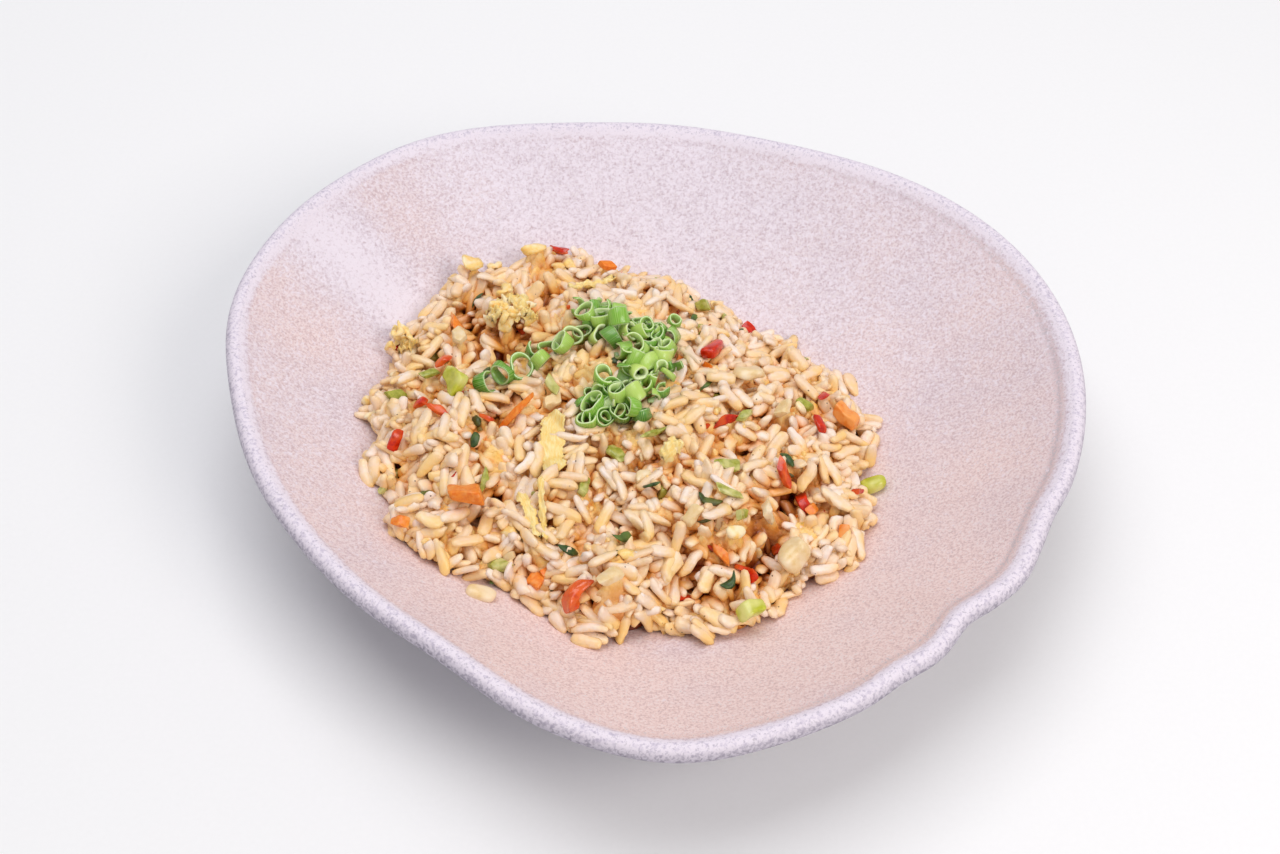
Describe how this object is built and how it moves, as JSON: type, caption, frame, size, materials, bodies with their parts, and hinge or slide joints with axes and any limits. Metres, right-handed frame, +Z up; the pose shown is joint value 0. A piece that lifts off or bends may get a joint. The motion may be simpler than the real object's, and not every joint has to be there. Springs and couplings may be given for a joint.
{
  "type": "fried rice plate",
  "caption": "Fried rice heaped in a deep free-form stoneware dish with a round lip, topped with spring onion, egg, carrot, red pepper and green vegetable pieces.",
  "frame": {"origin": "middle of the dish's outline, on the surface that its foot ring stands on", "axes": "+Z up; +X to the diner's right, along the dish's longest side; the diner sits at -Y"},
  "size_m": [0.2604, 0.2425, 0.0507],
  "materials": {
    "stoneware_glaze": "matte",
    "fried_rice": "satin",
    "spring_onion": "satin",
    "egg": "satin",
    "green_vegetable": "satin",
    "carrot": "satin",
    "red_pepper": "gloss",
    "pale_vegetable": "satin"
  },
  "bodies": {
    "root": {"dish": "stoneware_glaze", "rice_heap": "fried_rice", "spring_onion": "spring_onion", "spring_onion_tail": "spring_onion", "egg_ribbon": "egg", "egg_shred": "egg", "egg_curd": "egg", "egg_curd_left": "egg", "egg_curd_back": "egg", "celery_slice": "green_vegetable", "celery_slice_front": "green_vegetable", "carrot_dice": "carrot", "carrot_dice_right": "carrot", "red_pepper_front": "red_pepper", "red_pepper_top": "red_pepper", "white_onion_petal": "pale_vegetable", "pale_dice": "pale_vegetable", "loose_bean": "green_vegetable", "loose_rice_flake": "fried_rice"}
  },
  "joints": []
}
